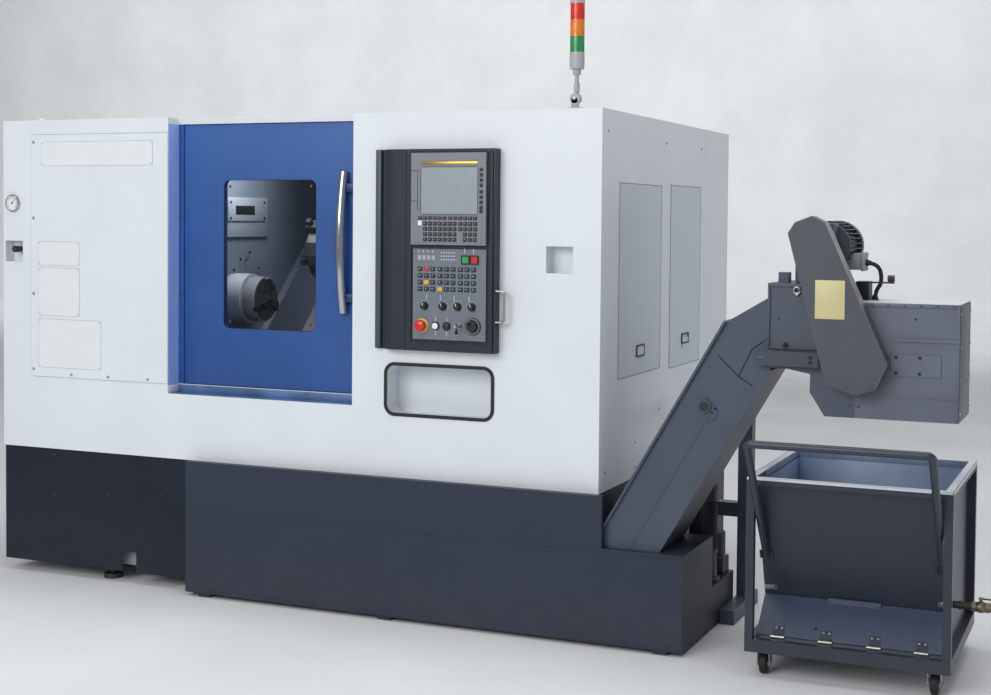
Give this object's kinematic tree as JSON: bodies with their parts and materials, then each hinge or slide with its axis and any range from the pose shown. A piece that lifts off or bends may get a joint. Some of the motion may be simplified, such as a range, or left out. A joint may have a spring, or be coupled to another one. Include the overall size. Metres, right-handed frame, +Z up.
{
  "type": "slant bed cnc turning lathe",
  "caption": "Enclosed slant-bed turning lathe with sliding blue door, swing-out control pendant, coolant tank, inclined chip conveyor, signal tower and a wheeled chip cart.",
  "frame": {"origin": "middle of the footprint on the floor, chip cart included", "axes": "+X to the right along the machine's front, +Y to its back, +Z up"},
  "size_m": [3.752, 1.9951, 2.143],
  "materials": {
    "cast_iron_paint": "satin enamel on cast iron",
    "ground_steel": "ground steel",
    "foot_steel": "dark cast iron",
    "head_enamel": "pale grey enamel",
    "chuck_steel": "turned steel",
    "liner_steel": "grey lining sheet",
    "cover_white": "textured cool white powder coat",
    "trim_black": "matt black",
    "edging_rubber": "black rubber edging",
    "base_grey": "dark blue-grey enamel",
    "frame_blue": "light blue enamel",
    "door_blue": "blue enamel",
    "window_glass": "clear laminated glass",
    "handle_chrome": "polished",
    "pendant_grey": "dark grey enamel",
    "display_plastic": "grey plastic",
    "stop_red": "red",
    "start_green": "green",
    "tower_grey": "grey plastic",
    "lens_plastic": "green, amber and red lenses",
    "tank_grey": "dark blue-grey enamel",
    "pump_grey": "grey enamel",
    "conveyor_grey": "mid grey enamel",
    "cart_grey": "dark blue-grey enamel"
  },
  "bodies": {
    "machine": {"machine_bed": "cast_iron_paint", "guide_rails": "ground_steel", "levelling_feet": "foot_steel", "headstock": "head_enamel", "cabin_liner": "liner_steel", "left_cover": "cover_white", "pressure_gauge": "trim_black", "air_valve_box": "trim_black", "right_cover": "cover_white", "pocket_edging": "edging_rubber", "service_panels": "cover_white", "roof_panel": "cover_white", "base_skirt": "base_grey", "electrical_cabinet": "cover_white", "door_frame": "frame_blue", "pendant_column": "pendant_grey", "tower_foot": "trim_black", "coolant_tank": "tank_grey", "coolant_pumps": "pump_grey", "conveyor_body": "conveyor_grey", "conveyor_head": "conveyor_grey", "conveyor_switch": "trim_black", "drive_guard": "conveyor_grey", "conveyor_motor": "pump_grey", "motor_cable": "edging_rubber", "conveyor_stand": "tank_grey"},
    "cabinet_door": {"cabinet_door": "cover_white"},
    "front_door": {"front_door": "door_blue", "door_glass": "window_glass", "door_handle": "handle_chrome"},
    "spindle": {"spindle_shaft": "ground_steel", "chuck_body": "chuck_steel"},
    "chuck_jaw_1": {"chuck_jaw_1": "chuck_steel"},
    "chuck_jaw_2": {"chuck_jaw_2": "chuck_steel"},
    "chuck_jaw_3": {"chuck_jaw_3": "chuck_steel"},
    "saddle": {"saddle": "liner_steel"},
    "cross_slide": {"cross_slide": "head_enamel"},
    "turret": {"turret_disc": "chuck_steel"},
    "pendant": {"pendant_case": "pendant_grey", "display_unit": "display_plastic", "keypad_panel": "display_plastic", "pendant_handle": "trim_black"},
    "emergency_stop": {"emergency_stop": "stop_red"},
    "selector_knob_1": {"selector_knob_1": "trim_black"},
    "selector_knob_2": {"selector_knob_2": "trim_black"},
    "selector_knob_3": {"selector_knob_3": "trim_black"},
    "selector_knob_4": {"selector_knob_4": "trim_black"},
    "start_button": {"start_button": "start_green"},
    "halt_button": {"halt_button": "stop_red"},
    "key_switch": {"key_switch": "handle_chrome"},
    "handwheel": {"handwheel": "chuck_steel"},
    "signal_tower": {"signal_tower": "tower_grey", "tower_lenses": "lens_plastic"},
    "air_valve_lever": {"air_valve_lever": "trim_black"},
    "conveyor_shaft": {"conveyor_shaft": "ground_steel"},
    "chip_cart": {"cart_body": "cart_grey", "cart_casters": "edging_rubber", "cart_handle": "cart_grey", "drain_valve": "chuck_steel"},
    "cart_flap": {"cart_flap": "cart_grey"}
  },
  "joints": [
    {"name": "cabinet_door_hinge", "type": "hinge", "parent": "machine", "child": "cabinet_door", "pos_m": [-1.726, 0.96775, 1], "axis": [0, 0, 1], "range_deg": [0, 110]},
    {"name": "front_door_slide", "type": "slide", "parent": "machine", "child": "front_door", "axis": [-1, 0, 0], "range_m": [0, 0.65]},
    {"name": "spindle_spin", "type": "hinge", "parent": "machine", "child": "spindle", "pos_m": [-0.986, -0.26525, 1.082], "axis": [1, 0, 0], "continuous": true},
    {"name": "jaw_1_slide", "type": "slide", "parent": "spindle", "child": "chuck_jaw_1", "axis": [0, 0, 1], "range_m": [-0.004, 0.004]},
    {"name": "jaw_2_slide", "type": "slide", "parent": "spindle", "child": "chuck_jaw_2", "axis": [0, -0.866, -0.5], "range_m": [-0.004, 0.004]},
    {"name": "jaw_3_slide", "type": "slide", "parent": "spindle", "child": "chuck_jaw_3", "axis": [0, 0.866, -0.5], "range_m": [-0.004, 0.004]},
    {"name": "saddle_slide", "type": "slide", "parent": "machine", "child": "saddle", "axis": [1, 0, 0], "range_m": [-0.08, 0.42]},
    {"name": "cross_slide_slide", "type": "slide", "parent": "saddle", "child": "cross_slide", "axis": [0, 0.7071, 0.7071], "range_m": [-0.1, 0.08]},
    {"name": "turret_index", "type": "hinge", "parent": "cross_slide", "child": "turret", "pos_m": [-0.714, -0.07433, 1.27292], "axis": [1, 0, 0], "continuous": true},
    {"name": "pendant_hinge", "type": "hinge", "parent": "machine", "child": "pendant", "pos_m": [-0.0805, -0.71025, 1.3], "axis": [0, 0, 1], "range_deg": [-90, 0]},
    {"name": "emergency_stop_press", "type": "slide", "parent": "pendant", "child": "emergency_stop", "axis": [0, 1, 0], "range_m": [0, 0.004], "stiffness_N_per_m": 1200, "springref_m": -0.001},
    {"name": "selector_knob_1_turn", "type": "hinge", "parent": "pendant", "child": "selector_knob_1", "pos_m": [-0.005, -0.71525, 1.105], "axis": [0, 1, 0], "range_deg": [-120, 120]},
    {"name": "selector_knob_2_turn", "type": "hinge", "parent": "pendant", "child": "selector_knob_2", "pos_m": [0.064, -0.71525, 1.105], "axis": [0, 1, 0], "range_deg": [-120, 120]},
    {"name": "selector_knob_3_turn", "type": "hinge", "parent": "pendant", "child": "selector_knob_3", "pos_m": [0.12, -0.71525, 1.105], "axis": [0, 1, 0], "range_deg": [-120, 120]},
    {"name": "selector_knob_4_turn", "type": "hinge", "parent": "pendant", "child": "selector_knob_4", "pos_m": [0.173, -0.71525, 1.105], "axis": [0, 1, 0], "range_deg": [-120, 120]},
    {"name": "start_button_press", "type": "slide", "parent": "pendant", "child": "start_button", "axis": [0, 1, 0], "range_m": [0, 0.003], "stiffness_N_per_m": 400, "springref_m": -0.001},
    {"name": "halt_button_press", "type": "slide", "parent": "pendant", "child": "halt_button", "axis": [0, 1, 0], "range_m": [0, 0.003], "stiffness_N_per_m": 400, "springref_m": -0.001},
    {"name": "key_switch_turn", "type": "hinge", "parent": "pendant", "child": "key_switch", "pos_m": [0.126, -0.71525, 1.037], "axis": [0, 1, 0], "range_deg": [-45, 45]},
    {"name": "handwheel_spin", "type": "hinge", "parent": "pendant", "child": "handwheel", "pos_m": [0.177, -0.71525, 1.04], "axis": [0, 1, 0], "continuous": true},
    {"name": "signal_tower_fold", "type": "hinge", "parent": "machine", "child": "signal_tower", "pos_m": [0.502, -0.60825, 1.808], "axis": [0, 1, 0], "range_deg": [-90, 0]},
    {"name": "air_valve_turn", "type": "hinge", "parent": "machine", "child": "air_valve_lever", "pos_m": [-1.827, -0.65025, 1.27], "axis": [0, 1, 0], "range_deg": [0, 90]},
    {"name": "conveyor_shaft_spin", "type": "hinge", "parent": "machine", "child": "conveyor_shaft", "pos_m": [1.464, -0.56525, 0.945], "axis": [0, 1, 0], "continuous": true},
    {"name": "chip_cart_roll", "type": "slide", "parent": "machine", "child": "chip_cart", "axis": [0, -1, 0], "range_m": [0, 1]},
    {"name": "cart_flap_hinge", "type": "hinge", "parent": "chip_cart", "child": "cart_flap", "pos_m": [1.414, -0.76725, 0.119], "axis": [1, 0, 0], "range_deg": [0, 125]}
  ],
  "couplings": [
    {"joint": "jaw_2_slide", "follows": "jaw_1_slide", "ratio": 1},
    {"joint": "jaw_3_slide", "follows": "jaw_1_slide", "ratio": 1}
  ]
}
